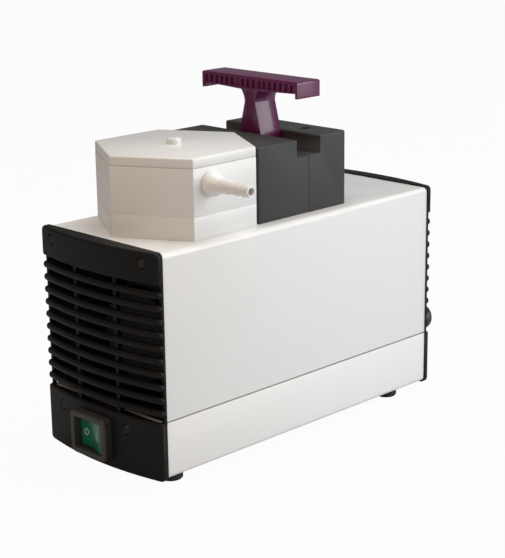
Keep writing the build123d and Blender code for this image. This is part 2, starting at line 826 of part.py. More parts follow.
def motor_bracket():
    """Folded saddle under the stack, its feet on the rubber mounts."""
    high = shaft_height - stator_side / 2
    low = floor_z + sheet + isolator_height
    t = bracket_thick
    x0 = motor_x0 + 2
    x1 = motor_x1 - 2
    saddle = box(x0, x1, -bracket_leg, bracket_leg, low, high)
    saddle = saddle - box(x0 - 1, x1 + 1, t - bracket_leg, bracket_leg - t, low - 1, high - t)
    saddle = saddle + box(x0, x1, -bracket_reach, t - bracket_leg, low, low + t)
    saddle = saddle + box(x0, x1, bracket_leg - t, bracket_reach, low, low + t)
    for x, y in isolator_places():
        saddle = saddle - rod_z(2.5, low - 1, low + t + 1, x, y)
    return saddle


def isolator_places():
    return [(x, y) for x in (motor_x0 + 12, motor_x1 - 12) for y in (-isolator_side, isolator_side)]


def isolator(x, y):
    low = floor_z + sheet
    high = low + isolator_height
    body = rod_z(isolator_radius - 1.5, low, high, x, y)
    for start in (low, high - 3):
        body = body + rod_z(isolator_radius, start, start + 3, x, y)
    return body + rod_z(2.3, high, high + 6, x, y)


# Handle and its block --------------------------------------------------

def pocket_half():
    return foot_flange / 2 + slide_clearance


def foot_top():
    return channel_floor - channel_floor_thick - seat_clearance


def handle_bar():
    """Grip: flat top, underside arched towards the stem, end plates and rib pockets."""
    top = bar_top_raised
    end_low = top - bar_end_height
    arch_end = top - bar_beam_height + 1.4
    plate = bar_half_span - 2.0
    half = bar_width / 2
    outline = Polyline(
        (-bar_half_span, top), (-bar_half_span, end_low), (-plate, end_low), (-plate, arch_end),
        (-stem_under_bar / 2, top - bar_beam_height), (stem_under_bar / 2, top - bar_beam_height),
        (plate, arch_end), (plate, end_low), (bar_half_span, end_low), (bar_half_span, top), close=True)
    bar = extrude(Plane.YZ.offset(handle_x - half) * make_face(outline), bar_width)
    bar = fillet(bar.edges().group_by(Axis.Z)[-1], 1.4)
    count = int((plate - 2) / rib_pocket_pitch)
    pockets = []
    for index in range(-count, count + 1):
        middle = index * rib_pocket_pitch
        for face in (handle_x - half, handle_x + half):
            pockets.append(box(face - rib_pocket_depth, face + rib_pocket_depth, middle - 1.6, middle + 1.6,
                               top - 7.6, top - 2.2))
    return bar - pockets


def handle_stem():
    """Waisted stem that widens again, then runs straight down to its guide foot."""
    under = bar_top_raised - bar_beam_height
    flare_z = under - stem_flare_below
    waist_z = under - stem_waist_below
    near = stem_under_bar / 2
    waist = stem_waist / 2
    wide = stem_foot_width / 2
    upper = Spline((near, under + 0.5), (waist, waist_z), (wide, flare_z), tangents=((-0.5, -1), (0, -1)))
    lower = Polyline((wide, flare_z), (wide, foot_top()), (-wide, foot_top()), (-wide, flare_z))
    other = mirror(upper, about=Plane.YZ)
    close_line = Line((-near, under + 0.5), (near, under + 0.5))
    face = make_face([upper.edge(), *lower.edges(), other.edge(), close_line.edge()])
    stem = extrude(Plane.YZ.offset(handle_x - stem_depth / 2) * face, stem_depth)
    grooves = []
    for side in (handle_x - stem_depth / 2, handle_x + stem_depth / 2):
        for y in (-2.4, 0, 2.4):
            grooves.append(box(side - 0.8, side + 0.8, y - 0.6, y + 0.6, flare_z - 2, under - 2))
    half = foot_flange / 2
    foot = box(handle_x - half, handle_x + half, -half, half, foot_top() - foot_flange_thick, foot_top())
    return (stem - grooves) + foot


def handle():
    return handle_bar() + handle_stem()


def block_screw_places():
    rear = block_screw_back + handle_x + bar_width / 2
    front = handle_x - bar_width / 2 - block_screw_back
    return [(rear, -block_screw_side), (rear, block_screw_side), (front, -33.0), (front, 33.0)]


def channel_half():
    return bar_width / 2 + slide_clearance


def block_blank(x0, x1):
    half = bar_half_span + 0.2
    block = box(x0, x1, -half, half, top_z, block_top)
    wide = channel_half()
    floor_cut = box(handle_x - wide, handle_x + wide, -half - 1, half + 1, channel_floor, block_top + 1)
    half_hole = pocket_half()
    pocket = box(handle_x - half_hole, handle_x + half_hole, -half_hole, half_hole,
                 top_z - 1, channel_floor - channel_floor_thick)
    guide_x = stem_depth / 2 + slide_clearance
    guide_y = stem_foot_width / 2 + slide_clearance
    guide = box(handle_x - guide_x, handle_x + guide_x, -guide_y, guide_y, top_z, block_top)
    return block, [floor_cut, pocket, guide]


def handle_block_front():
    """Front half: nests round the head's rear corner and carries half of the handle's channel."""
    block, cuts = block_blank(block_x0, handle_x)
    radius = head_flats / sqrt(3) + nest_gap * 2 / sqrt(3)
    nest = extrude(Pos(head_x, 0, top_z - 1) * RegularPolygon(radius, 6), block_height + 2)
    block = block - nest
    block = block - cuts
    block = soften_top(block)
    for x, y in block_screw_places()[2:]:
        block = block - rod_z(block_screw_radius + running_clearance, top_z - 1, top_z + 22, x, y)
    return block


def handle_block_rear():
    """Rear half: rounded rear corners and two deep screw recesses."""
    block, cuts = block_blank(handle_x, block_x1)
    block = fillet(block.edges().filter_by(Axis.Z).group_by(Axis.X)[-1], block_corner)
    block = block - cuts
    block = soften_top(block)
    for x, y in block_screw_places()[:2]:
        block = block - rod_z(block_screw_head_radius + seat_clearance, block_top - 8, block_top + 1, x, y)
        block = block - rod_z(block_screw_radius + screw_clearance, top_z - 1, block_top, x, y)
    return block


def soften_top(block):
    """Rounds the long outer edges of the block's top face."""
    top = block.edges().group_by(Axis.Z)[-1]
    return fillet(top, 1.2)


def block_screw_top(x, y):
    seat = block_top - 8
    head = rod_z(block_screw_head_radius, seat, seat + 5, x, y)
    head = head - extrude(Pos(x, y, seat + 2.5) * RegularPolygon(2.4, 6), 3)
    nut = extrude(Pos(x, y, top_z - sheet - 4) * RegularPolygon(5.0, 6), 4)
    return head + rod_z(block_screw_radius, top_z - sheet - 6, seat, x, y) + nut


def block_screw_low(x, y):
    seat = top_z - sheet
    head = rod_z(block_screw_head_radius, seat - 4, seat, x, y)
    return head + rod_z(block_screw_radius, seat, top_z + 20, x, y)


def guide_pocket():
    """Cup under the cover that takes the handle's foot when the handle is down."""
    inner = pocket_half()
    outer = inner + pocket_wall
    low = foot_top() - foot_flange_thick - handle_travel - 0.5
    flange_top = top_z - sheet
    cup = box(handle_x - outer, handle_x + outer, -outer, outer, low - pocket_wall, top_z)
    flange = outer + 5
    cup = cup + box(handle_x - flange, handle_x + flange, -flange, flange,
                    flange_top - pocket_wall, flange_top)
    return cup - box(handle_x - inner, handle_x + inner, -inner, inner, low, top_z + 1)


# Electrical pieces -----------------------------------------------------

def gland_seat():
    return housing_length + cap_side_depth + 4


def gland_hex(x0, x1, across):
    shape = Plane.YZ.offset(x0) * Pos(gland_side, gland_height) * RegularPolygon(across / sqrt(3), 6)
    return extrude(shape, x1 - x0)


def gland_body():
    """Threaded sleeve through the rear cap, with a round collar outside."""
    seat = gland_seat()
    inner_end = housing_length - sheet - 7
    sleeve = rod_x(gland_sleeve_radius, inner_end, seat + gland_collar, gland_side, gland_height)
    collar = rod_x(gland_radius, seat, seat + gland_collar, gland_side, gland_height)
    return sleeve + collar - rod_x(gland_bore + 0.5, inner_end - 1, seat + 10, gland_side, gland_height)


def gland_nut():
    """Domed cap nut with the cable's bore in its nose."""
    seat = gland_seat() + gland_collar
    end = housing_length + rear_reach
    dome = rod_x(gland_radius, seat, end, gland_side, gland_height)
    dome = fillet(dome.edges().group_by(Axis.X)[-1], gland_radius - gland_bore - 1)
    dome = dome - rod_x(gland_sleeve_radius, seat - 1, seat + gland_seal_room, gland_side, gland_height)
    return dome - rod_x(gland_bore, seat, end + 1, gland_side, gland_height)


def gland_seal():
    seat = gland_seat() + gland_collar
    high = seat + gland_seal_room - screw_clearance
    outer = gland_sleeve_radius - screw_clearance
    ring = rod_x(outer, seat + screw_clearance, high, gland_side, gland_height)
    return ring - rod_x(gland_bore, seat - 1, seat + 5, gland_side, gland_height)


def gland_locknut():
    face = housing_length - sheet
    nut = gland_hex(face - 4, face, 18.0)
    return nut - rod_x(gland_sleeve_radius, face - 5, face + 1, gland_side, gland_height)


def capacitor_place():
    return (housing_length - capacitor_from_rear, floor_z + sheet + capacitor_radius + 1.0)


def run_capacitor():
    x, z = capacitor_place()
    half = capacitor_length / 2
    can = rod_y(capacitor_radius, -half, half, x, z)
    can = chamfer(can.edges(), 1.2)
    for dx in (-5, 5):
        can = can + box(x + dx - 0.4, x + dx + 0.4, half - 0.5, half + 8, z - 3, z + 3)
    return can


def capacitor_clamp():
    """Strap round the can with a foot on the tray at each side."""
    x, z = capacitor_place()
    low = floor_z + sheet
    strap = rod_y(capacitor_radius + 1.0, -8, 8, x, z)
    foot = box(x - capacitor_radius - 8, x + capacitor_radius + 8, -8, 8, low, low + 1.5)
    return strap + foot - rod_y(capacitor_radius, -50, 50, x, z)


def terminal_block():
    """Row of screw terminals on the tray."""
    x = motor_end + 2
    low = floor_z + sheet
    half = terminal_length / 2
    base = box(x - 8, x + 8, -half, half, low, low + 8)
    base = base + box(x - 4, x + 4, -half, half, low, low + 15)
    pitch = terminal_length / 6
    wells = [rod_z(2.0, low + 9, low + 16, x, (index - 2.5) * pitch) for index in range(6)]
    return base - wells


# Files -----------------------------------------------------------------

def write_all():
    inlet_x = inlet_port_place()[0]
    outlet_x = outlet_port_place()[0]
    foot_places = [(x, y) for x in (foot_front, foot_rear) for y in (-foot_side, foot_side)]
    screws = [cap_screw(side, z) for side, z in cap_screw_places()]
    write("base_tray", base_tray())
    write("top_cover", top_cover())
    write("front_cap", front_cap())
    write("rear_cap", rear_cap())
    write("cap_screws", *screws, *[mirrored_back(screw) for screw in screws])
    write("rubber_feet", *[rubber_foot(x, y) for x, y in foot_places])
    write("foot_screws", *[foot_screw(x, y) for x, y in foot_places])
    write("switch_bezel", switch_bezel())
    write("rocker_button", rocker_button())
    write("head_base", head_base())
    write("head_body", head_body())
    write("head_lid", head_lid())
    write("head_plug", head_plug())
    write("head_screws", *[head_screw(x, y) for x, y in head_screw_places()])
    write("valve_plate", valve_plate())
    write("inlet_valve_disc", inlet_valve_disc())
    write("outlet_valve_disc", outlet_valve_disc())
    write("inlet_nozzle", nozzle(-1, inlet_x))
    write("outlet_nozzle", nozzle(1, outlet_x))
    write("nozzle_rings", nozzle_ring(-1, inlet_x), nozzle_ring(1, outlet_x))
    write("diaphragm", diaphragm())
    write("clamp_disc", clamp_disc())
    write("support_disc", support_disc())
    write("connecting_rod", connecting_rod())
    write("rod_bearing", rod_bearing())
    write("eccentric", eccentric())
    write("counterweight", counterweight())
    write("crankcase", crankcase())
    write("crankcase_cover", crankcase_cover())
    write("motor_shaft", motor_shaft())
    write("stator", stator())
    write("windings", *windings())
    write("motor_front_shield", motor_front_shield())
    write("motor_rear_shield", motor_rear_shield())
    write("rotor", rotor())
    write("bearings", *bearings())
    write("cooling_fan", cooling_fan())
    write("through_bolts", *[through_bolt(y, z) for y, z in bolt_places()])
    write("motor_bracket", motor_bracket())
    write("isolators", *[isolator(x, y) for x, y in isolator_places()])
    write("handle", handle())
    write("handle_block_front", handle_block_front())
    write("handle_block_rear", handle_block_rear())
    write("block_screws", *[block_screw_top(x, y) for x, y in block_screw_places()[:2]],
          *[block_screw_low(x, y) for x, y in block_screw_places()[2:]])
    write("guide_pocket", guide_pocket())
    write("gland_body", gland_body())
    write("gland_nut", gland_nut())
    write("gland_seal", gland_seal())
    write("gland_locknut", gland_locknut())
    write("run_capacitor", run_capacitor())
    write("capacitor_clamp", capacitor_clamp())
    write("terminal_block", terminal_block())


os.makedirs("parts", exist_ok=True)
write_all()
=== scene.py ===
# %% [markdown]
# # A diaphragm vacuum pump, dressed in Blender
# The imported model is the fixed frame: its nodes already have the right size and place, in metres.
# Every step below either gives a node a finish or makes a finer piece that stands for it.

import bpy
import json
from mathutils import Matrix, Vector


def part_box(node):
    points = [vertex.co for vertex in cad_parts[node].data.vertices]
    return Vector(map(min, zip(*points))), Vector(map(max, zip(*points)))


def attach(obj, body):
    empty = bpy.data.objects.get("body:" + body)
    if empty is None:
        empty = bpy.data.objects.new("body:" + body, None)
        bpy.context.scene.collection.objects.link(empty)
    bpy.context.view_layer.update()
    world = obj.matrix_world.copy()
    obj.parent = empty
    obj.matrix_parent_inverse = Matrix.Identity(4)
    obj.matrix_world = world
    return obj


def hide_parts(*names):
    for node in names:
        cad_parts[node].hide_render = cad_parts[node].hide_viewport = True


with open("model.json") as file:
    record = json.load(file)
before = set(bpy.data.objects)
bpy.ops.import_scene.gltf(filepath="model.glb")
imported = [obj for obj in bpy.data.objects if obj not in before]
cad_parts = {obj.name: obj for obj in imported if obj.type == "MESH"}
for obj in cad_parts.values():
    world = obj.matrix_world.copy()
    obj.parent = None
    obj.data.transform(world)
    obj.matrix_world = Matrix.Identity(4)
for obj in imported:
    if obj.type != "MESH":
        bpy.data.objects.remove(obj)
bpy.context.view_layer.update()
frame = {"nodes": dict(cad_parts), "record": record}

# %% [markdown]
# ## The camera
# The pump stands corner on to a camera a metre away: the switch end faces left and the long inlet
# side faces right. The camera is set from its bearing, its height angle and a slight roll, turned
# into a rotation matrix, because a matrix takes all three at once with no Euler order to think about.
# A long lens keeps the edges nearly parallel. Depth of field stays off.

# %% Camera
import json
from math import acos, atan2, cos, pi, radians, sin, sqrt

import bmesh
import bpy
from mathutils import Matrix, Vector

MM = 0.001
CAMERA_PLACE = Vector((-0.7339, -0.7460, 0.3959))
BEARING = radians(-44.69)
HEIGHT_ANGLE = radians(15.68)
ROLL = radians(-0.76)

backward = Vector((sin(BEARING) * cos(HEIGHT_ANGLE), -cos(BEARING) * cos(HEIGHT_ANGLE), sin(HEIGHT_ANGLE)))
level = Vector((cos(BEARING), sin(BEARING), 0))
upward = backward.cross(level)
right = cos(ROLL) * level + sin(ROLL) * upward
above = cos(ROLL) * upward - sin(ROLL) * level

camera_data = bpy.data.cameras.new("studio_camera")
camera_data.lens = 98.3
camera_data.sensor_width = 36
camera_data.shift_x = 0.0011
camera_data.shift_y = -0.0019
camera_data.clip_end = 20
camera = bpy.data.objects.new("studio_camera", camera_data)
turn = Matrix((right, above, backward)).transposed().to_4x4()
camera.matrix_world = Matrix.Translation(CAMERA_PLACE) @ turn
bpy.context.scene.collection.objects.link(camera)
bpy.context.scene.camera = camera
print("camera", round((CAMERA_PLACE - Vector((0, 0, 0.1))).length, 3), "m from the pump's middle")

# %% [markdown]
# ## Soft studio light
# White sheet metal next to black plastic needs broad, soft light: small lamps would burn a spot into
# the paint and leave the vents a black hole. So a large panel stands beside the long side of the
# housing, which is its lightest face, and another hangs above. A small, weak and warm panel lights the
# switch end and the head's front. The world is a pure white backdrop to the eye but a dim one to the
# surfaces, so that white paint still stands out against it.

# %% Lights and world
WORLD_ON_SURFACES = 0.17
WORLD_TO_THE_EYE = 1.0


def soft_panel(name, place, aim, size, power, tint=(1, 1, 1)):
    """A square area lamp at a place, turned to face a point."""
    data = bpy.data.lights.new(name, "AREA")
    data.shape = "SQUARE"
    data.size = size
    data.energy = power
    data.color = tint
    lamp = bpy.data.objects.new(name, data)
    direction = Vector(aim) - Vector(place)
    lamp.matrix_world = Matrix.Translation(place) @ direction.to_track_quat("-Z", "Y").to_matrix().to_4x4()
    bpy.context.scene.collection.objects.link(lamp)
    return lamp


soft_panel("side_panel", (1.2, -1.8, 0.75), (0, 0, 0.12), 1.6, 36, tint=(0.95, 0.975, 1.0))
soft_panel("front_panel", (-0.95, -0.22, 0.85), (0, 0, 0.2), 0.5, 3.2, tint=(1.0, 0.66, 0.38))
soft_panel("top_panel", (0.2, -0.1, 1.9), (0, 0, 0.1), 1.6, 25)

world = bpy.data.worlds.new("studio_world")
world.use_nodes = True
sky = world.node_tree
dim = sky.nodes["Background"]
dim.inputs["Color"].default_value = (1, 1, 1, 1)
dim.inputs["Strength"].default_value = WORLD_ON_SURFACES
backdrop = sky.nodes.new("ShaderNodeBackground")
backdrop.inputs["Color"].default_value = (1, 1, 1, 1)
backdrop.inputs["Strength"].default_value = WORLD_TO_THE_EYE
either = sky.nodes.new("ShaderNodeMixShader")
rays = sky.nodes.new("ShaderNodeLightPath")
sky.links.new(rays.outputs["Is Camera Ray"], either.inputs["Fac"])
sky.links.new(dim.outputs["Background"], either.inputs[1])
sky.links.new(backdrop.outputs["Background"], either.inputs[2])
sky.links.new(either.outputs["Shader"], sky.nodes["World Output"].inputs["Surface"])
bpy.context.scene.world = world
bpy.context.scene.view_settings.view_transform = "Standard"

# %% [markdown]
# ## Finishes
# One helper makes the backbone that nearly every finish shares: a fine grain that breaks up the gloss,
# a broad cloud that shifts the tone a little, and a bump from the grain. It reads Object coordinates,
# because the pieces sit at the origin and the pattern then stays fixed to them. What differs between
# paint, moulded plastic, cast metal and rubber is the size of the grain, the depth of the bump and the
# gloss, so those are its arguments. Numbers that are the same all over go on the shader itself.

# %% Finish helpers
def node_of(tree, kind, **values):
    """Adds a node and sets input defaults by socket name."""
    node = tree.nodes.new(kind)
    for socket, value in values.items():
        node.inputs[socket.replace("_", " ")].default_value = value
    return node


def shade(colour, factor):
    return tuple(min(channel * factor, 1.0) for channel in colour) + (1.0,)


def finish(name, colour, rough, grain, bump, tone=0.06, rough_spread=0.06, cloud=0.05, metal=0.0, coat=0.0,
           specular=0.5):
    """A material with grain in the roughness and bump, and a broad drift of tone. Sizes in metres."""
    material = bpy.data.materials.new(name)
    material.use_nodes = True
    tree = material.node_tree
    shader = tree.nodes["Principled BSDF"]
    shader.inputs["Metallic"].default_value = metal
    shader.inputs["Coat Weight"].default_value = coat
    shader.inputs["Specular IOR Level"].default_value = specular
    place = tree.nodes.new("ShaderNodeTexCoord")
    mapping = tree.nodes.new("ShaderNodeMapping")
    tree.links.new(place.outputs["Object"], mapping.inputs["Vector"])
    fine = node_of(tree, "ShaderNodeTexNoise", Scale=1 / grain, Detail=4.0, Roughness=0.6)
    broad = node_of(tree, "ShaderNodeTexNoise", Scale=1 / cloud, Detail=3.0)
    tree.links.new(mapping.outputs["Vector"], fine.inputs["Vector"])
    tree.links.new(mapping.outputs["Vector"], broad.inputs["Vector"])
    drift = tree.nodes.new("ShaderNodeMixRGB")
    drift.inputs["Color1"].default_value = shade(colour, 1 - tone)
    drift.inputs["Color2"].default_value = shade(colour, 1 + tone)
    tree.links.new(broad.outputs["Fac"], drift.inputs["Fac"])
    tree.links.new(drift.outputs["Color"], shader.inputs["Base Color"])
    gloss = node_of(tree, "ShaderNodeMapRange", To_Min=max(rough - rough_spread, 0.02),
                    To_Max=min(rough + rough_spread, 1.0))
    tree.links.new(fine.outputs["Fac"], gloss.inputs["Value"])
    tree.links.new(gloss.outputs["Result"], shader.inputs["Roughness"])
    relief = node_of(tree, "ShaderNodeBump", Distance=bump)
    tree.links.new(fine.outputs["Fac"], relief.inputs["Height"])
    tree.links.new(relief.outputs["Normal"], shader.inputs["Normal"])
    return material


# %% [markdown]
# ## The paints, plastics and metals of this pump
# The housing is powder-coated steel: a hard, even skin with the faintest orange peel, so its grain is
# about half a millimetre and its bump a hundredth. The caps and the handle's block are moulded with a spark
# texture, which is finer but deeper, and scatters light into a dark grey sheen. The pump head is cut
# from a white fluoropolymer: waxy, almost without bump, with a soft gloss. The small hidden pieces get
# cast, turned, laminated or rubbery finishes, because the vents show some of them. The castings and the
# bracket are coated black and kept near black as painted shade too, so that the vents read as dark openings.

# %% Finishes by material slot
FINISHES = {
    "cover_white": finish("powder_coat", (0.80, 0.80, 0.79), 0.34, 0.0006, 0.000012, tone=0.012, coat=0.15),
    "tray_white": finish("tray_powder_coat", (0.79, 0.79, 0.78), 0.36, 0.0006, 0.000012, tone=0.012,
                         coat=0.15),
    "cap_black": finish("cap_moulding", (0.009, 0.0088, 0.0088), 0.46, 0.0005, 0.00003, tone=0.15,
                        specular=0.15),
    "foot_rubber": finish("foot_rubber", (0.012, 0.012, 0.012), 0.75, 0.0009, 0.00004, tone=0.2),
    "screw_steel": finish("plated_screws", (0.42, 0.42, 0.43), 0.32, 0.0004, 0.00001, metal=1.0),
    "screw_black": finish("blackened_screws", (0.02, 0.02, 0.02), 0.38, 0.0004, 0.00001, metal=0.6),
    "switch_frame": finish("switch_frame_moulding", (0.035, 0.035, 0.036), 0.4, 0.0004, 0.00002, tone=0.1),
    "rocker_green": finish("rocker_moulding", (0.005, 0.16, 0.085), 0.2, 0.0008, 0.000008, tone=0.15,
                           coat=0.5),
    "head_white": finish("head_fluoropolymer", (0.76, 0.76, 0.74), 0.3, 0.0007, 0.000008, tone=0.02,
                         coat=0.1),
    "nozzle_white": finish("nozzle_fluoropolymer", (0.80, 0.80, 0.79), 0.28, 0.0007, 0.000008, tone=0.02),
    "block_grey": finish("block_moulding", (0.031, 0.031, 0.031), 0.6, 0.0005, 0.00003, tone=0.1),
    "handle_purple": finish("handle_moulding", (0.1, 0.004, 0.058), 0.3, 0.0006, 0.000015, tone=0.12,
                            coat=0.4, specular=0.4),
    "diaphragm_rubber": finish("diaphragm_elastomer", (0.03, 0.03, 0.03), 0.6, 0.0008, 0.00004),
    "seal_rubber": finish("seal_rubber", (0.015, 0.015, 0.015), 0.55, 0.0006, 0.00002),
    # Near black: partly a black coat, partly painted shade for the inside seen through the vents.
    "cast_aluminium": finish("casting_black_and_vent_shade", (0.012, 0.012, 0.013), 0.6, 0.0012, 0.00009, tone=0.12),
    "turned_steel": finish("turned_steel", (0.5, 0.5, 0.5), 0.28, 0.0004, 0.00001, metal=1.0),
    "lamination": finish("varnished_laminations", (0.12, 0.12, 0.125), 0.45, 0.0006, 0.00004, metal=0.7),
    "copper": finish("enamelled_copper", (0.5, 0.17, 0.06), 0.35, 0.0008, 0.00012, metal=0.8),
    "fan_plastic": finish("fan_moulding", (0.03, 0.03, 0.03), 0.5, 0.0006, 0.00002),
    "zinc_plate": finish("zinc_plate", (0.3, 0.305, 0.31), 0.42, 0.003, 0.00001, tone=0.12, metal=0.9),
    "capacitor_can": finish("capacitor_can", (0.5, 0.5, 0.52), 0.4, 0.0006, 0.00001),
    "terminal_plastic": finish("terminal_moulding", (0.6, 0.6, 0.55), 0.45, 0.0006, 0.00002),
    "gland_black": finish("gland_moulding", (0.015, 0.015, 0.015), 0.42, 0.0005, 0.00002, tone=0.15),
}

# %% [markdown]
# The sheet metal's inner faces are painted near black, a painted shade for the housing's dark inside. Its
# inner
# faces are told apart by where they lie: a place deeper than 1.2 mm of the 1.5 mm sheet, from the sides and
# from the top, is inside.

# %% Painted shade inside the sheet metal
# Near black: the painted shade of the housing's inside, not a colour of the steel.
INSIDE_PAINTED_SHADE = (0.03, 0.03, 0.031, 1)


def paint_inside_shade(material, half_width, low, high):
    """Paints the sheet near black wherever it faces the inside of the housing, as painted shade."""
    tree = material.node_tree

    def reckon(operation, first, second=None):
        """A maths node fed by a socket, and by a number or another socket."""
        node = tree.nodes.new("ShaderNodeMath")
        node.operation = operation
        tree.links.new(first, node.inputs[0])
        if isinstance(second, float):
            node.inputs[1].default_value = second
        elif second is not None:
            tree.links.new(second, node.inputs[1])
        return node.outputs["Value"]

    place = tree.nodes.new("ShaderNodeTexCoord")
    axes = tree.nodes.new("ShaderNodeSeparateXYZ")
    tree.links.new(place.outputs["Object"], axes.inputs["Vector"])
    past_side = reckon("GREATER_THAN", reckon("ABSOLUTE", axes.outputs["Y"]), half_width)
    past_top = reckon("GREATER_THAN", axes.outputs["Z"], high)
    past_floor = reckon("LESS_THAN", axes.outputs["Z"], low)
    outside = reckon("MAXIMUM", reckon("MAXIMUM", past_side, past_top), past_floor)
    colour = tree.nodes["Principled BSDF"].inputs["Base Color"]
    choice = tree.nodes.new("ShaderNodeMixRGB")
    choice.inputs["Color1"].default_value = INSIDE_PAINTED_SHADE
    tree.links.new(outside, choice.inputs["Fac"])
    tree.links.new(colour.links[0].from_socket, choice.inputs["Color2"])
    tree.links.new(choice.outputs["Color"], colour)


INSIDE_DEPTH = 1.2 * MM
# The inner faces get the painted shade; the outer faces keep their powder coat.
for slot_name, node_name in (("cover_white", "top_cover"), ("tray_white", "base_tray")):
    low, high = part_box(node_name)
    paint_inside_shade(FINISHES[slot_name], high.y - INSIDE_DEPTH, low.z + INSIDE_DEPTH, high.z - INSIDE_DEPTH)
print("sheet metal coated outside only")

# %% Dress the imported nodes
NODE_SLOT = {part["node"]: part["material_slot"] for part in frame["record"]["subparts"]}


def dress(piece, slot_name):
    """Gives a mesh the one finish of its slot."""
    piece.data.materials.clear()
    piece.data.materials.append(FINISHES[slot_name])


for node_name, node_object in frame["nodes"].items():
    dress(node_object, NODE_SLOT[node_name])
print(len(frame["nodes"]), "nodes dressed from", len(FINISHES), "finishes")


# %% [markdown]
# ## A helper that turns a bmesh into a piece
# Every finer piece goes through the same last steps: its normals are made to point outwards, its faces
# are shaded smooth up to an angle, it takes the finish of its slot, it is tied to the body it moves
# with, and the nodes it stands for are hidden. The object itself stays at the origin, unturned and unscaled.

# %% Piece helper
def piece_from(mesh, name, slot_name, body, *stands_for, crease=35):
    """Makes an object from a bmesh, dresses it and ties it to the frame."""
    bmesh.ops.remove_doubles(mesh, verts=mesh.verts, dist=1e-7)
    bmesh.ops.recalc_face_normals(mesh, faces=mesh.faces)
    data = bpy.data.meshes.new(name)
    mesh.to_mesh(data)
    mesh.free()
    data.shade_smooth()
    data.set_sharp_from_angle(angle=radians(crease))
    piece = bpy.data.objects.new(name, data)
    bpy.context.scene.collection.objects.link(piece)
    dress(piece, slot_name)
    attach(piece, body)
    if stands_for:
        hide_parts(*stands_for)
    return piece


def soften(mesh, edges, width, segments=3):
    """Rounds the given edges."""
    bmesh.ops.bevel(mesh, geom=edges, offset=width, offset_type="OFFSET", segments=segments, profile=0.5,
                    affect="EDGES", material=-1, clamp_overlap=True)


def middle_of(node):
    low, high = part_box(node)
    return (low + high) / 2


def blank_of(node):
    """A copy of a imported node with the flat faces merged, ready to be worked on."""
    mesh = bmesh.new()
    mesh.from_mesh(frame["nodes"][node].data)
    bmesh.ops.transform(mesh, matrix=frame["nodes"][node].matrix_world, verts=mesh.verts)
    bmesh.ops.remove_doubles(mesh, verts=mesh.verts, dist=1e-6)
    bmesh.ops.dissolve_limit(mesh, angle_limit=radians(0.6), use_dissolve_boundaries=False,
                             verts=mesh.verts, edges=mesh.edges, delimit=set())
    return mesh


def sharp_edges(mesh, angle=40, keep=lambda place: True):
    """Outward corners sharper than an angle whose middle passes a test."""
    return [edge for edge in mesh.edges
            if len(edge.link_faces) == 2 and edge.calc_face_angle(0) > radians(angle) and edge.is_convex
            and keep((edge.verts[0].co + edge.verts[1].co) / 2)]


# %% [markdown]
# ## The white pump head
# The head is three slabs of one hexagonal bar, bolted in a stack: a base, a body and a lid. Each slab is
# a six-sided circle drawn up into a prism, and its edges are rounded, because a machined fluoropolymer
# edge is always broken and that thin round catches the light as a bright line. The parting lines
# between the slabs then come by themselves, as the shallow valleys between two rounded edges.

# %% Head slabs
def hexagon_slab(node, edge):
    """A prism that fills a hexagonal node, corners along X, with rounded edges."""
    low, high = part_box(node)
    middle = (low + high) / 2
    radius = (high.y - low.y) / sqrt(3)
    slab = bmesh.new()
    place = Matrix.Translation((middle.x, middle.y, low.z))
    bmesh.ops.create_circle(slab, cap_ends=True, segments=6, radius=radius,
                            matrix=place @ Matrix.Rotation(radians(30), 4, "Z"))
    grown = bmesh.ops.extrude_face_region(slab, geom=slab.faces[:])
    risen = [item for item in grown["geom"] if isinstance(item, bmesh.types.BMVert)]
    bmesh.ops.translate(slab, verts=risen, vec=(0, 0, high.z - low.z))
    soften(slab, slab.edges[:], edge)
    return slab


for slab_name, edge in (("head_base", 0.3 * MM), ("head_body", 0.3 * MM), ("head_lid", 1.0 * MM)):
    slab = hexagon_slab(slab_name, edge)
    made = piece_from(slab, slab_name + "_slab", "head_white", "housing", slab_name)
    print(made.name, "is", round(made.dimensions.x / MM, 1), "mm across its corners")

# %% [markdown]
# ## Turned pieces: hose nozzles and the lid's button
# A hose nozzle is turned on a lathe, so it is made the way a lathe makes it: half of its outline is
# drawn beside an axis and spun round it. The outline goes up the bore as well, so that the open tip
# shows a real wall. The shoulder that seats on the head comes first, then a plain land that the hose
# grips, then three barbs, each a slow cone with a sharp back edge.

# %% Lathe helper
def lathe(outline, axis_place, axis_direction, steps=56):
    """Spins an outline of (radius, height) points round an axis, into a closed skin."""
    mesh = bmesh.new()
    points = [mesh.verts.new((radius, 0, height)) for radius, height in outline]
    edges = [mesh.edges.new(pair) for pair in zip(points, points[1:])]
    bmesh.ops.spin(mesh, geom=points + edges, cent=(0, 0, 0), axis=(0, 0, 1), dvec=(0, 0, 0),
                   angle=2 * pi, steps=steps, use_merge=True, use_duplicate=False)
    bmesh.ops.remove_doubles(mesh, verts=mesh.verts, dist=1e-6)
    swing = Vector(axis_direction).to_track_quat("Z", "Y").to_matrix().to_4x4()
    bmesh.ops.transform(mesh, matrix=Matrix.Translation(axis_place) @ swing, verts=mesh.verts)
    return mesh


# %% Hose nozzles
SHOULDER_RADIUS = 8.0 * MM
LAND_RADIUS = 4.8 * MM
BARB_RADIUS = 4.6 * MM
TIP_RADIUS = 3.7 * MM
BORE_RADIUS = 2.5 * MM
LAND_START = 12.0 * MM
BARB_START = 18.0 * MM
BARBS = 3


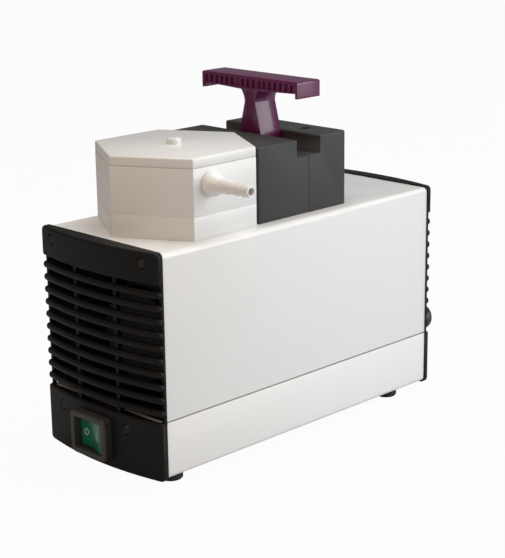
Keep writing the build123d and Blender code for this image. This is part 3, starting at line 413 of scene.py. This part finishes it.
def nozzle_outline(length):
    """Half outline of a nozzle from the head's face to its tip and back down the bore."""
    outline = [(BORE_RADIUS, 0), (SHOULDER_RADIUS - 0.3 * MM, 0), (SHOULDER_RADIUS, 0.3 * MM),
               (SHOULDER_RADIUS, 4.4 * MM), (SHOULDER_RADIUS - 0.6 * MM, 5.6 * MM)]
    outline += [(LAND_RADIUS + 1.5 * MM, 8.4 * MM), (LAND_RADIUS + 0.4 * MM, 10.8 * MM)]
    outline += [(LAND_RADIUS, LAND_START), (LAND_RADIUS, BARB_START)]
    step = (length - BARB_START) / BARBS
    for index in range(BARBS):
        start = BARB_START + index * step
        outline += [(BARB_RADIUS - 0.15 * MM, start + 0.1 * MM), (BARB_RADIUS, start + 0.5 * MM),
                    (TIP_RADIUS, start + step - 0.2 * MM)]
    outline += [(TIP_RADIUS - 0.3 * MM, length), (BORE_RADIUS + 0.2 * MM, length),
                (BORE_RADIUS, length - 0.3 * MM), (BORE_RADIUS, 0)]
    return outline


for nozzle_name, side in (("inlet_nozzle", -1), ("outlet_nozzle", 1)):
    low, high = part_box(nozzle_name)
    head_low, head_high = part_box("head_body")
    face = head_low.y if side < 0 else head_high.y
    reach = abs((low.y if side < 0 else high.y) - face)
    centre = middle_of(nozzle_name)
    mesh = lathe(nozzle_outline(reach), (centre.x, face, centre.z), (0, side, 0))
    made = piece_from(mesh, nozzle_name + "_turned", "nozzle_white", "housing", nozzle_name, crease=30)
    print(made.name, "stands", round(reach / MM, 1), "mm out of the head")

# %% Lid button
low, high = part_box("head_plug")
lid_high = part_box("head_lid")[1]
button_radius = (high.x - low.x) / 2
button_height = high.z - lid_high.z
round_over = 1.2 * MM
arc = [(button_radius - round_over + round_over * cos(turn),
        button_height - round_over + round_over * sin(turn))
       for turn in (index * pi / 10 for index in range(6))]
mesh = lathe([(0, 0), (button_radius, 0)] + arc + [(0, button_height)],
             (middle_of("head_plug").x, 0, lid_high.z), (0, 0, 1))
made = piece_from(mesh, "lid_button", "head_white", "housing", "head_plug", crease=50)
print(made.name, "is", round(button_height / MM, 1), "mm high")


# %% [markdown]
# ## The ribbed end caps
# Each cap is a bowed lid of black plastic whose middle is a grille: ten round-nosed ribs follow the bow,
# turn the corner and die into the rim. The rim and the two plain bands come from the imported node, cut
# free with three planes. The ribs are swept: one round-nosed section is carried along a path that runs
# up one side, round a small corner, along the bow and back. Keeping the path's outward direction beside
# each of its points makes the sweep a single multiplication.

# %% The path round a cap
CAP_HALF = 58.6 * MM
CAP_DEPTH = 11.2 * MM
BOW = 6.7 * MM
CORNER = 2.0 * MM
RIM = 1.5 * MM
RIB_PITCH = 8.74 * MM
RIB_HALF = 2.32 * MM
RIB_THICK = 3.0 * MM
FIRST_RIB = 129.2 * MM
RIB_COUNT = 10
GRILLE_LOW = 44.12 * MM
GRILLE_HIGH = 135.62 * MM
POST_SIDE = 20.0 * MM
GLAND_COLLAR = 3.0 * MM
BOSS_RADIUS = 11.5 * MM
BOSS_BORE = 7.2 * MM

tray_low, tray_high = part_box("base_tray")
bow_radius = (CAP_HALF ** 2 + BOW ** 2) / (2 * BOW)
bow_middle = bow_radius - CAP_DEPTH


def cap_path(bow_steps=28, corner_steps=6):
    """Points round the cap in plan with their outward directions, X from the cap's back face."""
    corner_x = bow_middle - sqrt((bow_radius - CORNER) ** 2 - (CAP_HALF - CORNER) ** 2)
    corner_y = CAP_HALF - CORNER
    last = pi - (pi / 2 - acos((CAP_HALF - CORNER) / (bow_radius - CORNER)))
    stations = [(-RIM, CAP_HALF, pi / 2)]
    for step in range(corner_steps + 1):
        angle = pi / 2 + (last - pi / 2) * step / corner_steps
        stations.append((corner_x + CORNER * cos(angle), corner_y + CORNER * sin(angle), angle))
    for step in range(1, bow_steps):
        angle = last + (2 * pi - 2 * last) * step / bow_steps
        stations.append((bow_middle + bow_radius * cos(angle), bow_radius * sin(angle), angle))
    for x, y, angle in reversed(stations[:corner_steps + 2]):
        stations.append((x, -y, -angle))
    return [(x, y, cos(angle), sin(angle)) for x, y, angle in stations]


stations = cap_path()
print(len(stations), "stations, bow radius", round(bow_radius / MM), "mm")

# %% Sweep along the path
def sweep(mesh, section, back_x, facing):
    """Carries a closed section of (inset, height) points along the path as a closed bar."""
    rings = []
    for x, y, out_x, out_y in stations:
        rings.append([mesh.verts.new((back_x + facing * (x - inset * out_x), y - inset * out_y, height))
                      for inset, height in section])
    count = len(section)
    for near, far in zip(rings, rings[1:]):
        for index in range(count):
            after = (index + 1) % count
            mesh.faces.new((near[index], near[after], far[after], far[index]))
    mesh.faces.new(rings[0])
    mesh.faces.new(reversed(rings[-1]))


def rib_section(middle):
    """Round nose in front, flat at the back."""
    nose = [(0.72 * RIB_HALF * (1 - cos(angle)), middle + RIB_HALF * sin(angle))
            for angle in (pi * (step / 10 - 0.5) for step in range(11))]
    return nose + [(RIB_THICK, middle + RIB_HALF), (RIB_THICK, middle - RIB_HALF)]


def add_box(mesh, low, high):
    """A plain box between two corners, added to a mesh."""
    size = Vector(high) - Vector(low)
    place = Matrix.Translation((Vector(low) + Vector(high)) / 2) @ Matrix.Diagonal((*size, 1))
    return bmesh.ops.create_cube(mesh, size=1.0, matrix=place)["verts"]


# %% [markdown]
# A packed curve is a row of flat facets. The wide bow would show them as faint stripes, so before the
# cap is cut it is sliced into narrow upright strips and every point on the bow is moved on to the true
# arc. The strips are all alike, so the smooth shading has no long slivers to stretch over.

# %% The true bow
STRIP = 3.0 * MM
FACET_ERROR = 0.12 * MM


def true_bow(cap, back_x, facing):
    """Slices a cap into upright strips and puts its outer points on the bow's arc."""
    count = int(CAP_HALF / STRIP)
    for index in range(-count, count + 1):
        bmesh.ops.bisect_plane(cap, geom=cap.verts[:] + cap.edges[:] + cap.faces[:], dist=1e-6,
                               plane_co=(0, index * STRIP, 0), plane_no=(0, 1, 0))
    for vert in cap.verts:
        if abs(vert.co.y) > CAP_HALF - CORNER:
            continue
        arc_x = back_x + facing * (bow_middle - sqrt(bow_radius ** 2 - vert.co.y ** 2))
        if abs(vert.co.x - arc_x) < FACET_ERROR:
            vert.co.x = arc_x


# %% Even shading on the bow
def even_bow(data, back_x, facing):
    """Gives every corner on the bow the arc's own normal, so that uneven faces do not show."""
    normals = [tuple(corner.vector) for corner in data.corner_normals]
    centre = back_x + facing * bow_middle
    for face in data.polygons:
        places = [data.vertices[index].co for index in face.vertices]
        off = max(abs(sqrt((place.x - centre) ** 2 + place.y ** 2) - bow_radius) for place in places)
        if off > 0.02 * MM or abs(face.normal.z) > 0.1:
            continue
        for loop, place in zip(face.loop_indices, places):
            normals[loop] = tuple(Vector((place.x - centre, place.y, 0)).normalized())
    data.normals_split_custom_set(normals)


# %% The two caps
def ribbed_cap(node, back_x, facing):
    """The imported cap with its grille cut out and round-nosed ribs put in."""
    cap = blank_of(node)
    true_bow(cap, back_x, facing)
    rim_x = back_x - facing * RIM
    for place, direction in (((0, 0, GRILLE_LOW), (0, 0, 1)), ((0, 0, GRILLE_HIGH), (0, 0, 1)),
                             ((rim_x, 0, 0), (1, 0, 0))):
        bmesh.ops.bisect_plane(cap, geom=cap.verts[:] + cap.edges[:] + cap.faces[:], dist=1e-6,
                               plane_co=place, plane_no=direction)
    gone = []
    for face in cap.faces:
        middle = face.calc_center_median()
        if GRILLE_LOW < middle.z < GRILLE_HIGH and facing * (middle.x - rim_x) < -1e-6:
            gone.append(face)
    bmesh.ops.delete(cap, geom=gone, context="FACES")
    for index in range(RIB_COUNT):
        sweep(cap, rib_section(FIRST_RIB - index * RIB_PITCH), back_x, facing)
    post_front = bow_middle - sqrt(bow_radius ** 2 - POST_SIDE ** 2) + RIB_THICK - 0.5 * MM
    for side in (-POST_SIDE, POST_SIDE):
        ends = sorted((back_x + facing * post_front, back_x + facing * (post_front + 3.5 * MM)))
        add_box(cap, (ends[0], side - 1.5 * MM, GRILLE_LOW - 2 * MM),
                (ends[1], side + 1.5 * MM, GRILLE_HIGH + 2 * MM))
    return cap


def seat_gland(cap):
    """Flattens the rear grille round the cable gland and puts the gland's boss back."""
    axis = middle_of("gland_nut")
    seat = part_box("gland_nut")[0].x - GLAND_COLLAR
    for vert in cap.verts:
        away = sqrt((vert.co.y - axis.y) ** 2 + (vert.co.z - axis.z) ** 2)
        if away < BOSS_RADIUS + 1 * MM and vert.co.x > seat:
            vert.co.x = seat
    length = seat - tray_high.x
    tube = lathe([(BOSS_BORE, 0), (BOSS_RADIUS, 0), (BOSS_RADIUS, length - 0.4 * MM),
                  (BOSS_RADIUS - 0.4 * MM, length), (BOSS_BORE, length), (BOSS_BORE, 0)],
                 (tray_high.x, axis.y, axis.z), (1, 0, 0))
    data = bpy.data.meshes.new("gland_boss")
    tube.to_mesh(data)
    tube.free()
    cap.from_mesh(data)


for node, back_x, facing in (("front_cap", tray_low.x, 1), ("rear_cap", tray_high.x, -1)):
    cap = ribbed_cap(node, back_x, facing)
    if node == "rear_cap":
        seat_gland(cap)
    made = piece_from(cap, node + "_moulding", "cap_black", "housing", node, crease=40)
    even_bow(made.data, back_x, facing)
    print(made.name, "has", len(made.data.polygons), "faces")


# %% [markdown]
# ## Moulded and folded pieces with broken edges
# Nothing that is moulded, folded or milled has a knife edge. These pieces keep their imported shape, and
# only their outward corners are rounded: by a millimetre on the handle's block, by less on the grip and
# the switch, and by a hair on the sheet metal. That thin round is what makes an edge catch the light.

# %% Pieces with broken edges
def broken(node, slot_name, body, width, segments=2, angle=40, keep=lambda place: True):
    """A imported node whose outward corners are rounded."""
    mesh = blank_of(node)
    soften(mesh, sharp_edges(mesh, angle, keep), width, segments)
    return piece_from(mesh, node + "_piece", slot_name, body, node, crease=50)


def outside_housing(place):
    """True for a place on the housing's outer faces."""
    return (abs(place.y) > tray_high.y - 0.2 * MM or place.z > cover_high.z - 0.2 * MM
            or place.z < tray_low.z + 0.2 * MM)


cover_low, cover_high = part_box("top_cover")
BROKEN = (
    ("top_cover", "cover_white", "housing", 0.35, outside_housing),
    ("base_tray", "tray_white", "housing", 0.35, outside_housing),
    ("handle_block_front", "block_grey", "housing", 0.45, lambda place: True),
    ("handle_block_rear", "block_grey", "housing", 0.45, lambda place: True),
)
for node, slot_name, body, width, keep in BROKEN:
    made = broken(node, slot_name, body, width * MM, keep=keep)
    print(made.name, "has", len(made.data.polygons), "faces")

# %% [markdown]
# ## The strip behind the seam
# The cover and the tray meet along a seam a millimetre wide. A folded tray carries a strip inside that
# backs this seam, or light would shine through the housing from one side to the other. It takes the
# near-black block finish, a painted shade that keeps the seam a dark line.

# %% Seam strip
seam = bmesh.new()
SHEET = 1.5 * MM
STRIP_THICK = 1.0 * MM
strip_low = cover_low.z - 6 * MM
strip_high = cover_low.z + 5 * MM
for side in (-1, 1):
    ends = sorted((side * (tray_high.y - SHEET - STRIP_THICK), side * (tray_high.y - SHEET)))
    add_box(seam, (tray_low.x + 2 * MM, ends[0], strip_low), (tray_high.x - 2 * MM, ends[1], strip_high))
# The strip is real geometry; its near-black finish is painted shade for the seam.
made = piece_from(seam, "seam_strips", "block_grey", "housing")
print(made.name, "back the seam from", round(strip_low / MM, 1), "mm up")

# %% [markdown]
# ## The lifting handle
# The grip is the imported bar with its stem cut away. The stem is drawn again as half an outline, because
# its look depends on one thing: it narrows in a curve to a waist, and below the waist it widens in a
# straight line. The curved part looks down and stays dark, the straight part looks up and takes the
# light, so the waist shows as a crisp line between the two.

# %% Handle
bar_low, bar_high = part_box("handle")
BAR_BEAM = 9.4 * MM
STEM_HALF_DEPTH = 10.2 * MM
STEM_TOP_HALF = 9.0 * MM
STEM_WAIST_HALF = 5.0 * MM
STEM_LOW_HALF = 10.3 * MM
WAIST_DROP = 9.5 * MM
FLARE_DROP = 29.5 * MM
FOOT_HALF = 12.0 * MM
FOOT_THICK = 3.0 * MM

bar_under = bar_high.z - BAR_BEAM
handle_x = middle_of("handle").x
grip = blank_of("handle")
stem_side = STEM_TOP_HALF + 0.4 * MM
stem_top = bar_under - 0.02 * MM
for place, direction in (((0, stem_side, 0), (0, 1, 0)), ((0, -stem_side, 0), (0, 1, 0)),
                         ((0, 0, stem_top), (0, 0, 1))):
    bmesh.ops.bisect_plane(grip, geom=grip.verts[:] + grip.edges[:] + grip.faces[:], dist=1e-6,
                           plane_co=place, plane_no=direction)
stem_faces = [face for face in grip.faces
              if face.calc_center_median().z < stem_top
              and (abs(face.calc_center_median().y) < stem_side
                   or face.calc_center_median().z < bar_under - 6 * MM)]
bmesh.ops.delete(grip, geom=stem_faces, context="FACES")
soften(grip, sharp_edges(grip), 0.5 * MM)
made = piece_from(grip, "handle_grip", "handle_purple", "handle", "handle", crease=50)
print(made.name, "spans", round(made.dimensions.y / MM, 1), "mm")

half_outline = []
for step in range(11):
    share = step / 10
    half_outline.append((STEM_WAIST_HALF + (STEM_TOP_HALF - STEM_WAIST_HALF) * (1 - share) ** 2,
                         bar_under + 0.5 * MM - share * WAIST_DROP))
half_outline.append((STEM_LOW_HALF, bar_under - FLARE_DROP))
half_outline.append((STEM_LOW_HALF, bar_low.z + FOOT_THICK))
stem = bmesh.new()
outline = [(y, z) for y, z in half_outline] + [(-y, z) for y, z in reversed(half_outline)]
front = stem.faces.new([stem.verts.new((handle_x - STEM_HALF_DEPTH, y, z)) for y, z in outline])
grown = bmesh.ops.extrude_face_region(stem, geom=[front])
risen = [item for item in grown["geom"] if isinstance(item, bmesh.types.BMVert)]
bmesh.ops.translate(stem, verts=risen, vec=(2 * STEM_HALF_DEPTH, 0, 0))
rims = [edge for edge in stem.edges if abs(edge.verts[0].co.x - edge.verts[1].co.x) < 1e-6]
soften(stem, rims, 0.4 * MM, 2)
for side in (-1, 1):
    for y in (-2.4 * MM, 0, 2.4 * MM):
        place = handle_x + side * STEM_HALF_DEPTH
        add_box(stem, (place - 0.3 * MM, y - 0.5 * MM, bar_under - FLARE_DROP + 4 * MM),
                (place + 0.3 * MM, y + 0.5 * MM, bar_under - 1.5 * MM))
add_box(stem, (handle_x - FOOT_HALF, -FOOT_HALF, bar_low.z),
        (handle_x + FOOT_HALF, FOOT_HALF, bar_low.z + FOOT_THICK))
made = piece_from(stem, "handle_stem", "handle_purple", "handle", "handle", crease=30)
print(made.name, "is", round(2 * STEM_WAIST_HALF / MM, 1), "mm at its waist")

# %% [markdown]
# ## The rocker switch
# The frame and the rocker are moulded, so both are softened. The two marks are the usual pair, a bar
# and a ring, set as thin raised strips on the rocker's two slopes; they ride with it when it tips.

# %% Switch
made = broken("switch_bezel", "switch_frame", "housing", 0.5 * MM)
print(made.name, "has", len(made.data.polygons), "faces")
made = broken("rocker_button", "rocker_green", "rocker", 0.35 * MM, segments=3, angle=25)
print(made.name, "has", len(made.data.polygons), "faces")

ROCKER_PIVOT = Vector((tray_low.x - 9.5 * MM, 2.75 * MM, 23.5 * MM))
ROCKER_REST = radians(-10)
CROWN = 4.5 * MM
VALLEY = 2.4 * MM
ROCKER_HALF = 13.0 * MM
slope = atan2(CROWN - VALLEY, ROCKER_HALF)


def mark_matrix(side):
    """Places a mark's own plane on one slope of the rocker."""
    middle = Matrix.Translation((-(CROWN + VALLEY) / 2, side * ROCKER_HALF / 2, 0))
    local = middle @ Matrix.Rotation(side * slope, 4, "Z")
    return Matrix.Translation(ROCKER_PIVOT) @ Matrix.Rotation(ROCKER_REST, 4, "Z") @ local


marks = bmesh.new()
bar_verts = add_box(marks, (-0.12 * MM, -0.25 * MM, -2.2 * MM), (0.1 * MM, 0.25 * MM, 2.2 * MM))
bmesh.ops.transform(marks, matrix=mark_matrix(-1), verts=bar_verts)
ring_mesh = lathe([(1.8 * MM, 0), (2.2 * MM, 0), (2.2 * MM, 0.22 * MM), (1.8 * MM, 0.22 * MM), (1.8 * MM, 0)],
                  (0.1 * MM, 0, 0), (-1, 0, 0), steps=40)
bmesh.ops.transform(ring_mesh, matrix=mark_matrix(1), verts=ring_mesh.verts)
ring_data = bpy.data.meshes.new("ring_mark")
ring_mesh.to_mesh(ring_data)
ring_mesh.free()
marks.from_mesh(ring_data)
made = piece_from(marks, "rocker_marks", "nozzle_white", "rocker")
print(made.name, "has", len(made.data.polygons), "faces")


# %% [markdown]
# ## The floor
# The pump stands on a plain pale sheet, large enough to fill the view. It belongs to the studio and
# not to the pump, so it rides on nothing. To the eye the card glows nearly
# white, as an overexposed studio sweep does, and only a trace of the pump's shadow is left on it.

# %% Floor
FLOOR_GLOW = 0.96

floor_mesh = bmesh.new()
bmesh.ops.create_grid(floor_mesh, x_segments=1, y_segments=1, size=6.0)
floor_data = bpy.data.meshes.new("studio_floor")
floor_mesh.to_mesh(floor_data)
floor_mesh.free()
floor = bpy.data.objects.new("studio_floor", floor_data)
bpy.context.scene.collection.objects.link(floor)
card = finish("floor_card", (0.55, 0.55, 0.55), 0.8, 0.002, 0.00001, tone=0.005)
tree = card.node_tree
glow = tree.nodes.new("ShaderNodeEmission")
to_eye = tree.nodes.new("ShaderNodeMixShader")
rays = tree.nodes.new("ShaderNodeLightPath")
share = tree.nodes.new("ShaderNodeMath")
share.operation = "MULTIPLY"
share.inputs[1].default_value = FLOOR_GLOW
tree.links.new(rays.outputs["Is Camera Ray"], share.inputs[0])
tree.links.new(share.outputs["Value"], to_eye.inputs["Fac"])
tree.links.new(tree.nodes["Principled BSDF"].outputs["BSDF"], to_eye.inputs[1])
tree.links.new(glow.outputs["Emission"], to_eye.inputs[2])
tree.links.new(to_eye.outputs["Shader"], tree.nodes["Material Output"].inputs["Surface"])
floor.data.materials.append(card)
print("floor", tuple(round(side, 1) for side in floor.dimensions))
